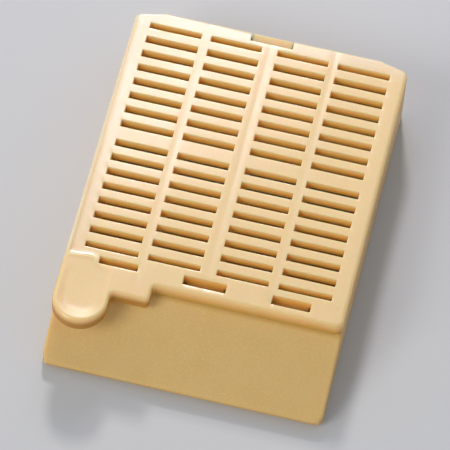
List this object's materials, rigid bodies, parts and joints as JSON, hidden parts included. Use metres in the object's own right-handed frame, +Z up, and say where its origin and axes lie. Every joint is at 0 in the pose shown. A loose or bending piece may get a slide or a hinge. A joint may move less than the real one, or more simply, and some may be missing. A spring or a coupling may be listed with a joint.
{
  "type": "tissue cassette",
  "caption": "Shallow plastic tray with a slotted floor and a sloping writing panel, shut by a slotted lid that swings on a rear hinge and has a thumb tab.",
  "frame": {"origin": "under the middle of the cassette, on the surface that it rests on", "axes": "+X to the right across the cassette, +Y from the writing panel to the hinge, +Z up through the lid"},
  "size_m": [0.0286, 0.04, 0.0077],
  "materials": {
    "cassette_plastic": "satin"
  },
  "bodies": {
    "base": {"base": "cassette_plastic"},
    "lid": {"lid": "cassette_plastic"}
  },
  "joints": [
    {"name": "lid_hinge", "type": "hinge", "parent": "base", "child": "lid", "pos_m": [0, 0.01958, 0.00665], "axis": [-1, 0, 0], "range_deg": [0, 90]}
  ]
}
